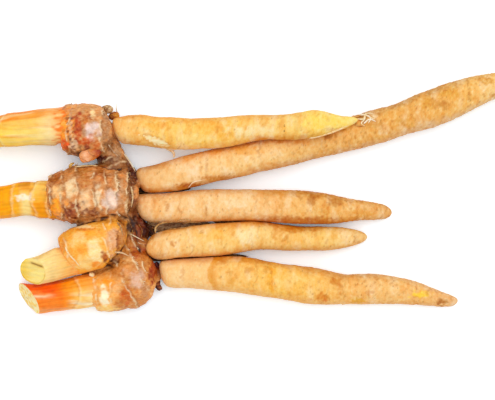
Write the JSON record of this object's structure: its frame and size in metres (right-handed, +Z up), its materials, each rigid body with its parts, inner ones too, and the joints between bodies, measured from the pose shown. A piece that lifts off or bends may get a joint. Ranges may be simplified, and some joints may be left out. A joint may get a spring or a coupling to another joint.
{
  "type": "fingerroot cluster",
  "caption": "Fingerroot, a ginger-family root, lying flat: ringed rhizome knobs with tapering finger-like storage roots on one side and sliced-off leaf shoots on the other.",
  "frame": {"origin": "on the table the cluster lies on, under the middle of its bounding box", "axes": "+X along the storage roots, from the cut shoots towards the root tips; +Y across the cluster towards the shoot that stands highest in a top view; +Z up from the table"},
  "size_m": [0.2084, 0.0874, 0.0203],
  "materials": {
    "skin": "matte root skin",
    "rind": "satin rhizome rind",
    "sheath": "moist satin leaf sheath",
    "bud": "satin bud scale",
    "scale": "matte dry scale",
    "flesh": "moist pale flesh"
  },
  "bodies": {
    "root": {"rhizome": "rind", "finger_root_upper": "skin", "finger_root_long": "skin", "finger_root_middle": "skin", "finger_root_small": "skin", "finger_root_lower": "skin", "shoot_upper": "sheath", "shoot_main": "sheath", "shoot_small": "sheath", "shoot_lower": "sheath", "bud_red": "bud", "bud_edge_near": "scale", "bud_edge_far": "scale", "bud_pale": "flesh", "rootlet_upper": "flesh", "rootlet_middle": "flesh"}
  },
  "joints": []
}
